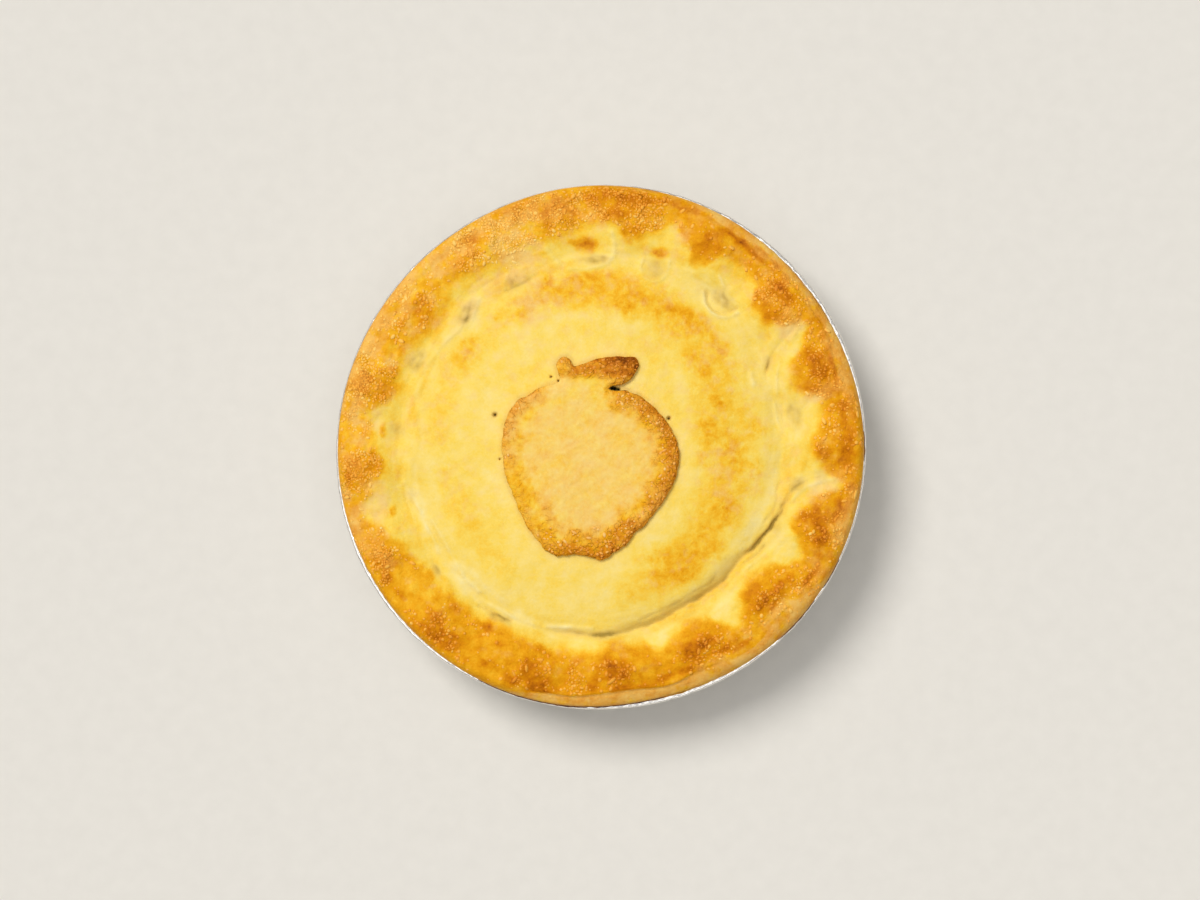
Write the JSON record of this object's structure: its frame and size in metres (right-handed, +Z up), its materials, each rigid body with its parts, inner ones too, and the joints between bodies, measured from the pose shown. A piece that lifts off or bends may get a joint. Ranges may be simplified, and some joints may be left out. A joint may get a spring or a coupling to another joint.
{
  "type": "apple pie",
  "caption": "Round double-crust apple pie in its foil tin, with a thumb-pressed rim and a cut-out pastry apple on the lid.",
  "frame": {"origin": "the middle of the tin's foot, on the surface the pie stands on", "axes": "+Z up, out of the lid; +Y from the foot of the pastry apple towards its leaf"},
  "size_m": [0.1808, 0.179, 0.043],
  "materials": {
    "foil": "bright rolled foil",
    "crust": "glazed golden pastry, browned on the rim",
    "toasted_pastry": "toasted pastry, darker towards its edge"
  },
  "bodies": {
    "root": {"foil_tin": "foil", "pie": "crust", "pastry_apple": "toasted_pastry"}
  },
  "joints": []
}
